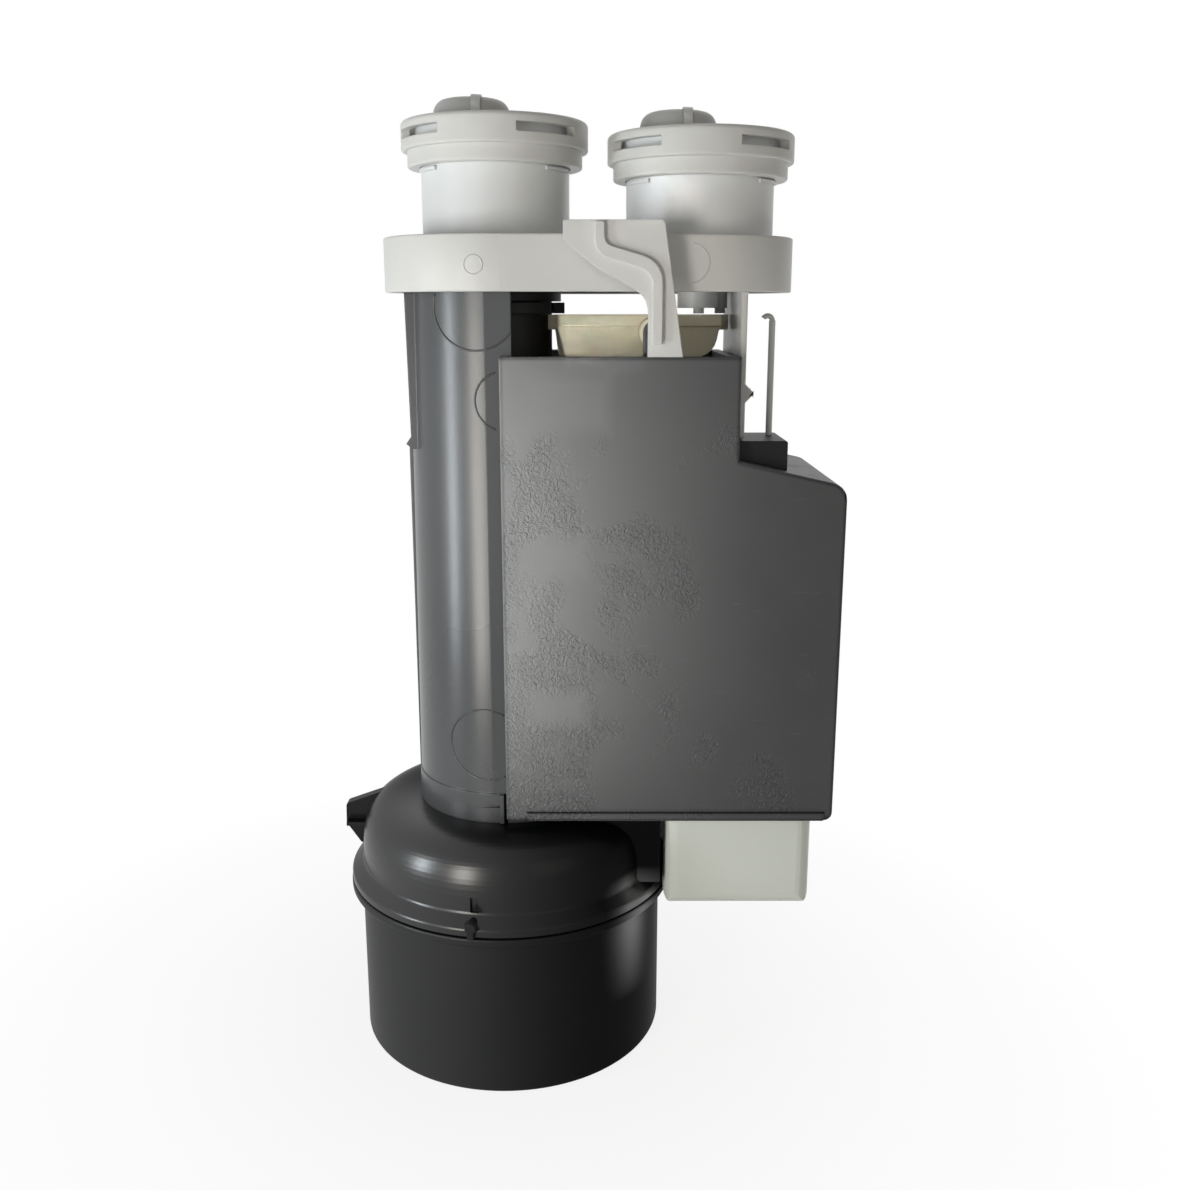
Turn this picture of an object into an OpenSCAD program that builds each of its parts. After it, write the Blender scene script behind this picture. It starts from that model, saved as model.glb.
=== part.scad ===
// Dual-flush drop valve for a toilet cistern, standing on its base cup.
// The origin is on the valve axis at the mouth of the outlet socket, +Z is up,
// the flush box lies towards +X and the front of the valve faces -Y.

/* [Base cup] */
// Outer radius of the base cup
base_r = 46; // [44:0.5:50]
// Wall of the base cup
base_wall = 2.5; // [2:0.1:3]
// Height of the base cup to the top of its lip
base_h = 50; // [48:0.5:60]
// How far the lip stands out from the cup
lip_overhang = 3.2; // [1:0.1:4]
// Thickness of the lip
lip_t = 2.4; // [1.5:0.1:4]
// Radius of the outlet socket
socket_r = 27; // [24:0.5:30]
// Wall of the outlet socket
socket_wall = 3; // [2.5:0.1:4]
// Height of the web that carries the valve seat
web_z = 34; // [30:0.5:36]
// Thickness of that web
web_t = 3; // [2:0.1:4]
// Radius of the opening in the valve seat
seat_r = 25; // [22:0.5:26]
// Height of the seat lip over the web
seat_rise = 2.5; // [1.5:0.1:4]
// Thickness of the outlet seal
outlet_seal_t = 2.6; // [2:0.1:4]

/* [Valve dome] */
// Outer radius of the dome's skirt
dome_r = 45.4; // [43:0.2:46]
// Height of the dome over the base cup
dome_h = 25; // [22:0.5:30]
// Height of the straight skirt under the rounded shoulder
skirt_h = 7; // [6:0.5:10]
// Wall of the dome
dome_wall = 2.2; // [1.8:0.1:3]
// Number of inlet windows round the back of the dome
window_n = 5; // [1:1:5]
// Width of an inlet window
window_w = 13; // [8:0.5:16]
// Height of an inlet window
window_h = 10; // [8:0.5:12]
// Number of bayonet lugs between cup and dome
bayonet_n = 3; // [2:1:4]
// Arc of one bayonet lug in degrees
bayonet_arc = 24; // [16:1:28]

/* [Column] */
// Mean outer radius of the column
column_r = 26.4; // [25.5:0.1:26.6]
// Draft of the column: how much its radius grows to the foot and shrinks to the top
column_draft = 0.6; // [0:0.1:0.8]
// Wall of the column at its top
column_wall = 2; // [1.6:0.1:2.4]
// Height of the foot band of the column
foot_h = 9; // [6:0.5:14]
// Left edge of the flat front pad of the column
pad_x0 = -3; // [-8:0.5:0]
// Right edge of that pad, where the column is cut away at its top
pad_x1 = 4.2; // [3:0.2:6]

/* [Flush box] */
// Left edge of the flush box
box_x0 = 1; // [0:0.2:3]
// Right edge of the flush box
box_x1 = 93.8; // [93:0.2:100]
// Depth of the flush box from front to back
box_d = 60; // [58:0.5:66]
// Wall of the flush box
box_wall = 2.6; // [2:0.1:3]
// Height of the tall part of the flush box
box_h = 130; // [120:0.5:136]
// How far the tall part reaches past the axis of the right button
tall_over = 9.5; // [9.4:0.1:12]
// Height of the shoulder at the tall part
shoulder_h = 102.6; // [95:0.5:108]
// How far the shoulder falls to the right
shoulder_fall = 6.6; // [3:0.2:9]

/* [Top bridge] */
// Gap between the top of the flush box and the bridge
bridge_gap = 16.5; // [16:0.5:20]
// Height of the bridge
bridge_h = 14.5; // [13:0.5:16]
// Wall of the bridge
bridge_wall = 2; // [1.6:0.1:2.2]
// Radius of the left end of the bridge
bridge_left_r = 31.2; // [30:0.2:33]
// Radius of the right end of the bridge
bridge_right_r = 25.9; // [25.5:0.1:27]
// Offset of the left button from the valve axis
button_left_x = -1.2; // [-1.5:0.1:0]
// Distance between the two buttons
button_pitch = 56.3; // [55.5:0.1:57]

/* [Buttons] */
// Outer radius of a button cup
cup_r = 20.3; // [20:0.1:21]
// Wall of a button cup
cup_wall = 1.8; // [1.4:0.1:2]
// Height of the left button over the bridge, to the top of its lock ring
stand_left = 30.2; // [29.5:0.2:36]
// Height of the right button over the bridge, to the top of its lock ring
stand_right = 27; // [26.6:0.2:36]
// Outer radius of a lock ring
ring_r = 25.5; // [25:0.1:28]
// Height of the band of a lock ring
band_h = 7.6; // [7:0.2:9]
// Number of windows in the band
band_windows = 4; // [3:1:4]
// Arc of one such window in degrees
band_window_arc = 42; // [20:1:56]
// Radius of the thumb knob on a button
knob_r = 10.5; // [8:0.5:11]
// How far the knob lies to the left of its button's axis
knob_offset = 6.2; // [0:0.2:7]
// Height of the knob over the lock ring
knob_rise = 6; // [3:0.5:9]
// Radius of the guide post of a button
post_r = 4; // [3:0.1:5]
// Press travel of a button
press = 4; // [2:0.5:4]

/* [Levers] */
// Place of the lever pin along X
pivot_x = 42.3; // [41:0.1:44]
// Height of the lever pin over the flush box
pivot_rise = 6; // [5:0.2:7]
// Radius of the lever pin
pin_r = 2; // [1.5:0.1:2.4]
// Height of the top of the levers over the flush box
lever_rise = 10.6; // [10:0.2:11]
// Width of one lever
lever_w = 7.2; // [5:0.2:8]
// Thickness of the top flange of a lever
lever_flange_t = 3.1; // [2:0.1:4]

/* [Stem and seal] */
// Outer radius of the overflow stem
stem_r = 14; // [13.6:0.1:14.2]
// Wall of the overflow stem
stem_wall = 2.2; // [1.6:0.1:3]
// Radius of the seal washer
seal_r = 31; // [29:0.5:34]
// Thickness of the seal washer
seal_t = 3.4; // [2:0.2:5]
// Height of the stem guide over the foot of the column
guide_z = 75; // [30:1:100]

/* [Float] */
// Left side of the float
float_x0 = 46.4; // [44:0.2:50]
// Gap between the hollowed left side of the float and the lip of the base cup
float_clear = 0.6; // [0.4:0.1:2]
// Right side of the float
float_x1 = 89.4; // [80:0.2:89.6]
// Gap between the float and the side walls of the flush box
float_inset = 3.3; // [2.6:0.1:9]
// How far the float hangs below the floor of the flush box
float_h = 32.4; // [15:0.2:33]
// Wall of the float
float_wall = 1.6; // [1.2:0.1:2.4]
// Radius of the float rod
rod_r = 0.9; // [0.8:0.1:2]
// Place of the float rod along X
rod_x = 75.2; // [73:0.1:76]
// Place of the float rod along Y
rod_y = -8; // [-12:0.5:-6]

/* [Fits] */
// Gap between pieces that move past each other
gap = 0.3; // [0.2:0.05:0.4]
// Radial clearance of a shaft that turns or slides in its bore
run_fit = 0.08; // [0.05:0.01:0.1]
// Clearance of pieces that are pushed together and stay
seat_fit = 0.1; // [0.05:0.01:0.15]

/* [Hidden] */
$fn = 96;

// A length that reaches past a face which is cut
eps = 0.5;
// Small edge rounding of the mouldings
edge = 0.6;

// Heights of the assembly, from the base cup up
seat_z = web_z + web_t + seat_rise;
dome_z0 = base_h + gap;
dome_z1 = base_h + dome_h;
box_z0 = dome_z1 + 2;
box_z1 = box_z0 + box_h;
bridge_z0 = box_z1 + bridge_gap;
bridge_z1 = bridge_z0 + bridge_h;
plate_z0 = bridge_z1 - bridge_wall;
lever_top = box_z1 + lever_rise;
pivot_z = box_z1 + pivot_rise;
column_z1 = plate_z0 - seat_fit;
stem_z1 = lever_top + 6.4;

// Base cup and bayonet
lip_r = base_r + lip_overhang;
cup_bore_r = base_r - base_wall;
recess_r = socket_r + 1;
seat_land = 2.6;
spigot_r = cup_bore_r - 2.1;
spigot_z0 = base_h - 7.7;
lug_h = 2.4;
lug_z = spigot_z0 + lug_h + gap + 0.4;

// Dome
crown_r = column_r + column_draft + 0.3;
skirt_z = base_h + skirt_h;
shoulder_fullness = 3.2;
flange_r = dome_r + 3.6;
flange_h = 2.4;
flare_h = 3;
column_bore_r = column_r - column_draft - column_wall;
neck_r = column_bore_r - seat_fit;
neck_h = 7;
riser_x1 = float_x0 - 1.1;
riser_y = 24;
peg_angle = 260.8;
peg_z = dome_z0 + flange_h + 1.2;
peg_r = 1.2;

// Flush box
plate_y = box_d / 2;
inner_y = plate_y - box_wall;
button_right_x = button_left_x + button_pitch;
tall_x1 = button_right_x + tall_over;
shoulder_z = box_z0 + shoulder_h;
floor_z = box_z0 + box_wall;
lug_r = 3.4;
lug_y = inner_y - 5.4;
float_gap = 0.8;
float_d = 2 * (inner_y - float_inset);

// Buttons: heights are measured down from the top of a lock ring
ring_left_z = bridge_z1 + stand_left;
ring_right_z = bridge_z1 + stand_right;
cup_bore = cup_r - cup_wall;
ring_lip_h = 4.3;
ring_lip_r = ring_r - 1.6;
ring_bore = ring_r - 2.3;
bead_drop = band_h + ring_lip_h + 0.4;
cup_top_drop = band_h - gap - 2;
cup_floor_drop = 26;
cup_floor_t = 2;
cap_drop = 3.5;
cap_t = 3;
cap_r = cup_bore - gap;
disc_t = 2.5;
disc_drop = cap_drop + cap_t;
rib_w = 2.6;
rib_proud = 0.5;
nub_r = 1.5;
nub_h = 1.5;
rib_x = 2 - knob_offset;

// Push arm of the left button
leg_r0 = stem_r + 1.3;
leg_r1 = cup_bore - 0.8;
leg_a0 = 60;
leg_a1 = 86;
arm_t = 3.7;
arm_z0 = plate_z0 - gap - arm_t;
arm_y0 = 18.8;
arm_y1 = 21.4;
arm_foot_x = button_right_x + 6.9;
arm_foot_y = 6;
arm_foot_r = 2.1;

// Levers
lever_split = 0.8;
flange_over = 1.4;
tip_x = stem_r - 4;
lever_x0 = stem_r + 2;
flush_lever_x1 = button_right_x + 5.9;
half_lever_x1 = button_right_x + 8.9;
hub_r = 4.2;
tip_w = 3.4;

// Stem
slot_z1 = lever_top + gap;
slot_z0 = slot_z1 - 3 * (press + 1);
lift_ring_t = 3;
lift_ring_r = stem_r + 3.6;
collar_z0 = slot_z1 + lift_ring_t + gap;
collar_r = stem_r + 2.6;
seal_z = seat_z + gap;
tail_r = stem_r - 1;
nut_h = 3.2;

// Float
lid_t = 2.1;
lid_over = 1.4;
float_z0 = floor_z - float_h;
float_z1 = floor_z + gap;
hollow_r = max(lip_r, flange_r) + float_clear;
hook_r = rod_r + 0.4;
hook_z = box_z1 + 9;

// Places and sizes of the carried details
rail_y0 = -12;
rail_y1 = -6;
block_x0 = tall_x1 + gap;
block_w = 13.2;
block_z1 = shoulder_z + 5;
block_y0 = -inner_y + 2.4;
leg_x0 = tall_x1 + gap;
leg_t = 1.7;
leg_w = 45;
arm_front_y = plate_y + 3.4;
arm_back_y = plate_y + 1;

function unit(v) = v / norm(v);

// Points of the arc of radius r that rounds the corner b between a and c
function corner_arc(a, b, c, r, n) =
    let (
        u = unit(a - b),
        v = unit(c - b),
        half = acos(u * v) / 2,
        centre = b + unit(u + v) * r / sin(half),
        p = b + u * r / tan(half) - centre,
        q = b + v * r / tan(half) - centre,
        a0 = atan2(p.y, p.x),
        turn = atan2(q.y, q.x) - a0,
        sweep = turn > 180 ? turn - 360 : turn < -180 ? turn + 360 : turn
    )
    [for (i = [0:n]) centre + r * [cos(a0 + sweep * i / n), sin(a0 + sweep * i / n)]];

// An outline of corners [x, y] or [x, y, radius], with the corners that have a radius rounded
function rounded(pts, n = 5) =
    let (k = len(pts))
    [for (i = [0:k - 1])
        let (
            a = pts[(i + k - 1) % k],
            b = pts[i],
            c = pts[(i + 1) % k]
        )
        each (len(b) > 2
            ? corner_arc([a.x, a.y], [b.x, b.y], [c.x, c.y], b[2], n)
            : [[b.x, b.y]])];

// Quarter of an oval about [x, y], from its right side to its top: fullness 2 is an ellipse, more is squarer
function oval_arc(x, y, rx, ry, n = 16, fullness = 2) =
    [for (i = [0:n])
        let (a = 90 * i / n)
        [x + rx * pow(cos(a), 2 / fullness), y + ry * pow(sin(a), 2 / fullness)]];

// A ring of rectangular section between two radii
module ring(r0, r1, z0, z1) {
    translate([0, 0, z0])
        difference() {
            cylinder(r = r1, h = z1 - z0);
            translate([0, 0, -eps])
                cylinder(r = r0, h = z1 - z0 + 2 * eps);
        }
}

// An arc of such a ring, centred on an angle
module ring_arc(r0, r1, z0, z1, middle, arc) {
    rotate(middle - arc / 2)
        rotate_extrude(angle = arc)
            translate([r0, z0])
                square([r1 - r0, z1 - z0]);
}

// A block given by its lowest and highest corners
module block(low, high) {
    translate(low)
        cube(high - low);
}

// An outline in X and Z, carried along Y from y0 to y1
module side_extrude(y0, y1) {
    translate([0, y1, 0])
        rotate([90, 0, 0])
            linear_extrude(y1 - y0)
                children();
}

// A slot with round ends, cut in along the X axis
module radial_slot(w, h, depth) {
    rotate([90, 0, 90])
        linear_extrude(depth) {
            translate([-w / 2 + h / 2, -h / 2])
                square([w - h, h]);
            for (side = [-1, 1])
                translate([side * (w - h) / 2, 0])
                    circle(d = h);
        }
}

// Base cup with its lip, the outlet socket, the valve seat and the inner bayonet lugs
module base_cup() {
    color("#1d1e20") {
        rotate_extrude()
            polygon(rounded([
                [socket_r, 0],
                [socket_r + socket_wall, 0],
                [socket_r + socket_wall, web_z],
                [cup_bore_r, web_z],
                [cup_bore_r, 0],
                [base_r, 0, 2 * edge],
                [base_r, base_h - lip_t - 1],
                [lip_r, base_h - lip_t, edge],
                [lip_r, base_h, edge],
                [cup_bore_r, base_h],
                [cup_bore_r, web_z + web_t],
                [seat_r + seat_land, web_z + web_t],
                [seat_r + seat_land, seat_z, edge],
                [seat_r, seat_z, edge],
                [seat_r, web_z],
                [recess_r, web_z],
                [recess_r, web_z - outlet_seal_t],
                [socket_r, web_z - outlet_seal_t]
            ]));
        for (i = [0:bayonet_n - 1])
            ring_arc(
                spigot_r + 0.4, cup_bore_r + eps, lug_z, lug_z + lug_h,
                i * 360 / bayonet_n, bayonet_arc
            );
    }
}

// Rubber ring at the end of the outlet socket
module outlet_seal() {
    color("#3a3a3a")
        ring(seat_r + 0.4, recess_r - seat_fit, web_z - outlet_seal_t, web_z);
}

// Solid outer form of the dome: spigot, flared flange, skirt, rounded shoulder and neck
module dome_outside() {
    rotate_extrude()
        polygon(concat(
            [[0, spigot_z0], [spigot_r, spigot_z0], [spigot_r, dome_z0]],
            rounded([
                [spigot_r, dome_z0],
                [flange_r, dome_z0, edge],
                [flange_r, dome_z0 + flange_h, 2 * edge],
                [dome_r, dome_z0 + flange_h + flare_h, 1.6],
                [dome_r, skirt_z]
            ]),
            oval_arc(crown_r, skirt_z, dome_r - crown_r, dome_z1 - skirt_z, 20, shoulder_fullness),
            [[neck_r, dome_z1], [neck_r, dome_z1 + neck_h], [0, dome_z1 + neck_h]]
        ));
}

// Hollow of the dome, one wall inside it
module dome_hollow() {
    spigot_bore = spigot_r - dome_wall;
    shelf_z = dome_z0 + dome_wall;
    rotate_extrude()
        polygon(concat(
            [[0, spigot_z0 - eps], [spigot_bore, spigot_z0 - eps], [spigot_bore, shelf_z]],
            [[dome_r - dome_wall, shelf_z]],
            oval_arc(
                crown_r, skirt_z, dome_r - crown_r - dome_wall, dome_z1 - skirt_z - dome_wall,
                20, shoulder_fullness
            ),
            [[neck_r - dome_wall, dome_z1 - dome_wall], [neck_r - dome_wall, dome_z1 + neck_h + eps]],
            [[0, dome_z1 + neck_h + eps]]
        ));
}

// Walls that carry the floor of the flush box on the right of the dome
module dome_riser() {
    riser_x0 = crown_r - 6;
    riser_z1 = box_z0 - seat_fit / 2;
    difference() {
        block([riser_x0, -riser_y, skirt_z - 2], [riser_x1, riser_y, riser_z1]);
        for (side = [-1, 1])
            block(
                [crown_r, side * riser_y / 2 - riser_y / 2 + dome_wall, skirt_z - 2 - eps],
                [riser_x1 - dome_wall, side * riser_y / 2 + riser_y / 2 - dome_wall, riser_z1 + eps]
            );
        translate([0, 0, skirt_z])
            cylinder(r = crown_r, h = dome_h);
    }
}

// Grip lug on the left of the dome, with its thin ledge
module dome_lug() {
    side_extrude(2, 5.6)
        polygon(rounded([
            [-crown_r - 8, skirt_z + 6],
            [-crown_r - 12, base_h + 23],
            [-dome_r - 6.2, base_h + 18.6, 1],
            [-dome_r - 6.4, base_h + 12.2, 1],
            [-dome_r - 2, base_h + 5.6],
            [-dome_r + 1.2, base_h + 5.6]
        ]));
    block([-dome_r - 5.8, -1, base_h + 12.4], [-dome_r + 1.2, 8, base_h + 13.6]);
}

// Black domed valve body that turns and locks in the base cup
module valve_dome() {
    color("#232427")
        difference() {
            union() {
                dome_outside();
                dome_riser();
                dome_lug();
                for (i = [0:bayonet_n - 1])
                    ring_arc(
                        spigot_r - 1, cup_bore_r - gap, spigot_z0, spigot_z0 + lug_h,
                        i * 360 / bayonet_n, bayonet_arc
                    );
            }
            dome_hollow();
            for (i = [0:window_n - 1])
                rotate(90 + (i - (window_n - 1) / 2) * 28)
                    translate([crown_r, 0, skirt_z + 2.4])
                        radial_slot(window_w, window_h, base_r);
            rotate(peg_angle)
                translate([crown_r, 0, peg_z])
                    rotate([0, 90, 0])
                        cylinder(r = peg_r + seat_fit / 2, h = base_r);
            rotate(peg_angle)
                block([dome_r - 1.2, -peg_r, peg_z + 2.2], [dome_r + 2, peg_r, peg_z + 6.6]);
        }
}

// Peg on the front of the dome that marks the locked position over the lip of the base cup
module index_peg() {
    color("#2b2c2e")
        rotate(peg_angle)
            translate([0, 0, peg_z]) {
                rotate([0, 90, 0]) {
                    translate([0, 0, dome_r - dome_wall])
                        cylinder(r = peg_r, h = flange_r - dome_r + dome_wall + 0.6);
                    translate([0, 0, flange_r + 0.1])
                        cylinder(r1 = 2, r2 = 1.5, h = 1.6);
                }
                block([flange_r + 0.2, -0.9, dome_z0 - peg_z + 0.2], [flange_r + 1.6, 0.9, 0]);
            }
}

// Dark column: a drafted tube with a foot band and flat pads for the flush box.
// On its left a hooked rail stands over a thin rib.
module column() {
    r0 = column_r + column_draft;
    r1 = column_r - column_draft;
    pad_y = inner_y - seat_fit;
    pad_z0 = dome_z1 + foot_h;
    rail_z0 = box_z1 - 26;
    color("#3f4044")
        difference() {
            union() {
                translate([0, 0, dome_z1])
                    cylinder(r1 = r0, r2 = r1, h = column_z1 - dome_z1);
                translate([0, 0, dome_z1])
                    cylinder(r = r0 + 0.25, h = foot_h);
                for (side = [-1, 1])
                    block(
                        [pad_x0, side > 0 ? column_bore_r : -pad_y, pad_z0],
                        [pad_x1, side > 0 ? pad_y : -column_bore_r, bridge_z0 + 1]
                    );
                side_extrude(rail_y0, rail_y1)
                    polygon([
                        [-column_bore_r + 3, rail_z0],
                        [-r1 + 0.9, rail_z0],
                        [-r1 - 0.8, rail_z0 + 1.4],
                        [-r1 + 0.6, rail_z0 + 3.4],
                        [-r1, bridge_z0],
                        [-column_bore_r + 3, bridge_z0]
                    ]);
                block([-column_r - 1.3, 1, dome_z1 + 0.3], [-column_bore_r - 0.2, 2.2, rail_z0]);
                block([-1, -r0 - 1.3, dome_z1 + 0.3], [0.2, -column_bore_r - 0.4, pad_z0]);
            }
            translate([0, 0, dome_z1 - eps])
                cylinder(r = column_bore_r, h = column_z1 - dome_z1 + 2 * eps);
            block([pad_x1, -base_r, box_z1 - 2], [base_r, base_r, column_z1 + eps]);
            block([0.2, -base_r, dome_z1 - eps], [1.2, -column_bore_r + 2, pad_z0]);
        }
}

// Bush in the column that keeps the stem on its axis, with vents round it
module stem_guide() {
    guide_t = 6;
    middle_r = (stem_r + column_bore_r) / 2;
    color("#d8d8d4")
        translate([0, 0, dome_z1 + guide_z])
            difference() {
                cylinder(r = column_bore_r - seat_fit, h = guide_t);
                translate([0, 0, -eps])
                    cylinder(r = stem_r + run_fit, h = guide_t + 2 * eps);
                for (i = [0:5])
                    rotate(i * 60)
                        translate([middle_r, 0, -eps])
                            cylinder(r = 2.6, h = guide_t + 2 * eps);
            }
}

// Line of the sloping shoulder at x
function shoulder_at(x) = shoulder_z - shoulder_fall * (x - tall_x1) / (box_x1 - tall_x1);

// Side outline of the flush box, from its left edge x0, drawn in by one inset
function box_outline(x0, inset, top, r) = [
    [x0, box_z0 + inset],
    [box_x1 - inset, box_z0 + inset, max(r - inset, edge)],
    [box_x1 - inset, shoulder_at(box_x1) - inset, max(2 * r - inset, edge)],
    [tall_x1 - inset, shoulder_z - inset],
    [tall_x1 - inset, top],
    [x0, top]
];

// Dark box that saddles the column and holds the flush water over the float
module flush_box() {
    corner_r = 2.4;
    color("#4a4a4c")
        difference() {
            union() {
                difference() {
                    side_extrude(-plate_y, plate_y)
                        polygon(rounded(box_outline(box_x0, 0, box_z1, corner_r)));
                    side_extrude(-inner_y, inner_y)
                        polygon(rounded(box_outline(-base_r, box_wall, box_z1 + eps, corner_r)));
                }
                for (side = [-1, 1]) {
                    block(
                        [box_x0 + 6, side > 0 ? plate_y - eps : -plate_y - 0.5, box_z0],
                        [box_x1 - corner_r, side > 0 ? plate_y + 0.5 : -plate_y + eps, floor_z]
                    );
                    side_extrude(side > 0 ? lug_y : -inner_y, side > 0 ? inner_y : -lug_y) {
                        translate([pivot_x, pivot_z])
                            circle(r = lug_r);
                        translate([pivot_x - lug_r, box_z1 - 10])
                            square([2 * lug_r, pivot_z - box_z1 + 10]);
                    }
                }
            }
            translate([0, 0, box_z0 - eps])
                cylinder(r = column_r + column_draft + 0.25 + gap, h = box_wall + 2 * eps);
            block(
                [float_x0 - float_gap, -float_d / 2 - float_gap, box_z0 - eps],
                [float_x1 + float_gap, float_d / 2 + float_gap, floor_z + eps]
            );
            translate([pivot_x, inner_y, pivot_z])
                rotate([90, 0, 0])
                    cylinder(r = pin_r + seat_fit / 4, h = 2 * inner_y);
            translate([rod_x, rod_y, shoulder_at(box_x1) - 4])
                cylinder(r = rod_r + 0.8, h = 14);
        }
}

// Black block on the shoulder that guides the float rod
module rod_guide() {
    x1 = block_x0 + block_w;
    color("#161617")
        difference() {
            side_extrude(block_y0, rod_y + 6)
                polygon(rounded([
                    [block_x0, shoulder_at(block_x0) + seat_fit / 2],
                    [x1, shoulder_at(x1) + seat_fit / 2],
                    [x1, block_z1, edge],
                    [block_x0, block_z1, edge]
                ]));
            translate([rod_x, rod_y, shoulder_at(x1) - eps])
                cylinder(r = rod_r + run_fit, h = 12);
        }
}

// Plan of the bridge: two round ends and the straight walls that touch both, drawn in by an inset
module bridge_plan(inset) {
    r0 = bridge_left_r - inset;
    r1 = bridge_right_r - inset;
    lean = acos((r0 - r1) / button_pitch);
    translate([button_left_x, 0])
        circle(r = r0);
    translate([button_right_x, 0])
        circle(r = r1);
    polygon([
        for (side = [-1, 1]) [button_left_x + r0 * cos(lean), side * r0 * sin(lean)],
        for (side = [1, -1]) [button_right_x + r1 * cos(lean), side * r1 * sin(lean)]
    ]);
}

// Outer form of the bridge
module bridge_outside() {
    translate([0, 0, bridge_z0])
        linear_extrude(bridge_h)
            bridge_plan(0);
}

// White bridge that joins the column and the flush box and carries both button cups
module top_bridge() {
    socket_r0 = column_r - column_draft + seat_fit + 0.1;
    leg_z0 = block_z1 + gap;
    bump_z = box_z1 - 10;
    color("#eceef0")
        difference() {
            union() {
                difference() {
                    bridge_outside();
                    translate([0, 0, bridge_z0 - eps])
                        linear_extrude(bridge_h - bridge_wall + eps)
                            bridge_plan(bridge_wall);
                }
                difference() {
                    ring(socket_r0, socket_r0 + 1.8, bridge_z0 + 2.5, bridge_z1 - 1);
                    block([0, -base_r, bridge_z0], [base_r, base_r, bridge_z1]);
                }
                block([leg_x0, -leg_w / 2, leg_z0], [leg_x0 + leg_t, leg_w / 2, plate_z0 + 1]);
                side_extrude(-leg_w / 2, -leg_w / 2 + 6)
                    polygon(rounded([
                        [leg_x0 + leg_t - eps, bump_z - 3],
                        [leg_x0 + leg_t + 2.4, bump_z, edge],
                        [leg_x0 + leg_t - eps, bump_z + 3]
                    ]));
            }
            for (x = [button_left_x, button_right_x])
                translate([x, 0, plate_z0 - eps])
                    cylinder(r = cup_r - 0.9, h = bridge_wall + 2 * eps);
        }
}

// White S-shaped arm that hooks over the bridge and stands on the front wall of the flush box
module latch_arm() {
    foot_z = box_z1 + seat_fit / 2;
    hook_z0 = bridge_z1 + seat_fit / 2;
    top_z = hook_z0 + 3;
    color("#eef0ef")
        translate([pivot_x, 0, 0]) {
            side_extrude(-arm_front_y, -arm_back_y)
                polygon(rounded([
                    [-24.2, top_z, edge],
                    [-24.2, top_z - 5, 1],
                    [-15.6, bridge_z0 + 5.8, 6],
                    [-2.5, bridge_z0 - 1.5, 6],
                    [-2.5, foot_z],
                    [6.6, foot_z],
                    [1.5, top_z, 1.5]
                ]));
            side_extrude(-arm_front_y - 1.2, -arm_front_y + eps)
                polygon(rounded([
                    [-16.1, top_z - 0.4, edge],
                    [-16.1, bridge_z0 + 9.4, 4],
                    [-1.4, bridge_z0 + 5.2, 5],
                    [-1.4, foot_z + 3.2, edge],
                    [1.1, foot_z + 3.2, edge],
                    [1.1, bridge_z0 + 7.4, 7],
                    [-13.7, bridge_z0 + 11.6, 2.5],
                    [-13.7, top_z - 0.4, edge]
                ]));
            side_extrude(-arm_back_y - eps, -arm_back_y + 6)
                polygon([[-22.3, hook_z0], [0.2, hook_z0], [0.2, top_z - 0.6], [-22.3, top_z - 0.6]]);
            block([-1.9, -arm_back_y - eps, foot_z], [6.4, -inner_y - seat_fit / 2, foot_z + 2]);
            block([4, -inner_y - 1, foot_z], [6.4, -inner_y + 2, foot_z + 2]);
            block([4, -inner_y + seat_fit / 2, box_z1 - 5], [6.4, -inner_y + 2, foot_z + 2]);
        }
}

// Steel pin that both levers rock on
module lever_pin() {
    color("#b9bcc0")
        translate([pivot_x, inner_y - seat_fit, pivot_z])
            rotate([90, 0, 0])
                cylinder(r = pin_r, h = 2 * (inner_y - seat_fit));
}

// White button cup: wall, floor with a guide bore, the flange and bead that keep the lock ring, and a spigot
module cup(ring_z) {
    floor_z0 = ring_z - cup_floor_drop;
    flange_z1 = ring_z - cup_top_drop;
    bead_z1 = ring_z - bead_drop;
    ring(cup_bore, cup_r, bridge_z1, flange_z1 - edge);
    ring(cup_bore, ring_bore - gap, flange_z1 - 2, flange_z1);
    ring(cup_bore + 0.2, ring_bore - 1.6, flange_z1 - edge, ring_z - 1);
    for (a = [90, 210, 330])
        ring_arc(cup_bore + 0.4, cup_r + 0.7, bead_z1 - 1, bead_z1, a, 30);
    ring(cup_r - 2.1, cup_r - 1.1, plate_z0, bridge_z1 + edge);
    ring(cup_r - 2.1, cup_r - 0.5, bridge_z1, bridge_z1 + edge);
    ring(post_r + run_fit, cup_bore + edge, floor_z0, floor_z0 + cup_floor_t);
}

module cup_left() {
    color("#e6ebf0")
        translate([button_left_x, 0, 0])
            difference() {
                cup(ring_left_z);
                ring_arc(
                    leg_r0 - gap, leg_r1 + gap, ring_left_z - cup_floor_drop - eps,
                    ring_left_z - cup_floor_drop + cup_floor_t + eps,
                    (leg_a0 + leg_a1) / 2, leg_a1 - leg_a0 + 4
                );
            }
}

module cup_right() {
    color("#e6ebf0")
        translate([button_right_x, 0, 0])
            cup(ring_right_z);
}

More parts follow.
